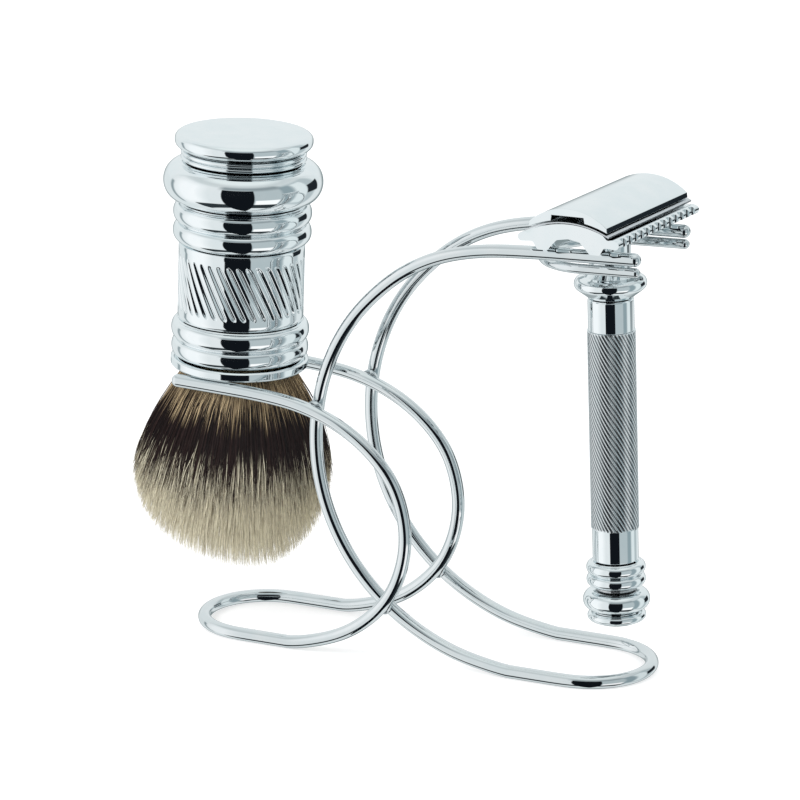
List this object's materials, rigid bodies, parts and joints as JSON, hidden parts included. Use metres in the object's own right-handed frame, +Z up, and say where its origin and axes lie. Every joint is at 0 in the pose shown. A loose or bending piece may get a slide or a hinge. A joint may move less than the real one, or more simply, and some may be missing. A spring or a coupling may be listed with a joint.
{
  "type": "shaving set stand with brush and double-edge razor",
  "caption": "Chrome wire countertop stand of two crossed open-fork hoops holding a turned-handle shaving brush, hair down, and a double-edge safety razor hung by its head.",
  "frame": {"origin": "on the table, under the middle of the set's bounding box", "axes": "+X from the brush fork to the razor fork, +Y across the forks, +Z up"},
  "size_m": [0.1378, 0.0501, 0.1254],
  "materials": {
    "chrome": "mirror polished chrome plate",
    "braze": "plated braze fillet, slightly soft",
    "steel": "turned steel",
    "blade_steel": "ground blade steel",
    "brass": "turned brass, hidden",
    "resin": "cast resin, hidden",
    "hair": "banded animal hair"
  },
  "bodies": {
    "stand_body": {"razor_hoop": "chrome", "brush_hoop": "chrome", "braze_upper_near": "braze", "braze_upper_far": "braze", "braze_lower_near": "braze", "braze_lower_far": "braze", "razor_cradle": "chrome"},
    "brush_body": {"brush_top_cap": "chrome", "brush_bead_collar": "chrome", "brush_grip_ring": "chrome", "brush_upper_collar": "chrome", "brush_barrel": "chrome", "brush_lower_collar": "chrome", "brush_flange": "chrome", "brush_tie_rod": "steel", "brush_tie_nut": "brass", "brush_knot_plug": "resin", "brush_hair_knot": "hair"},
    "razor_body": {"razor_base_plate": "chrome", "razor_blade": "blade_steel", "razor_neck_collar": "chrome", "razor_handle_tube": "chrome", "razor_tail_ferrule": "chrome"},
    "cap_body": {"razor_cap": "chrome", "razor_cap_stud": "steel", "razor_cap_pin_near": "chrome", "razor_cap_pin_far": "chrome"},
    "knob_body": {"razor_knob": "chrome", "razor_end_button": "chrome", "razor_draw_rod": "steel", "razor_thrust_washer": "steel"}
  },
  "joints": [
    {"name": "brush_lift_out", "type": "slide", "parent": "stand_body", "child": "brush_body", "axis": [-0.9994, 0, 0.0349], "range_m": [0, 0.045]},
    {"name": "razor_lift_out", "type": "slide", "parent": "stand_body", "child": "razor_body", "axis": [0.9994, 0, 0.0349], "range_m": [0, 0.035]},
    {"name": "knob_turn", "type": "hinge", "parent": "razor_body", "child": "knob_body", "pos_m": [0.05704, 0.00326, 0.01883], "axis": [0.0349, 0, -0.9994], "range_deg": [0, 1800]},
    {"name": "cap_raise", "type": "slide", "parent": "razor_body", "child": "cap_body", "axis": [-0.0349, 0, 0.9994], "range_m": [0, 0.0041]}
  ],
  "couplings": [
    {"joint": "cap_raise", "follows": "knob_turn", "m_per_rad": 0.00012732}
  ]
}
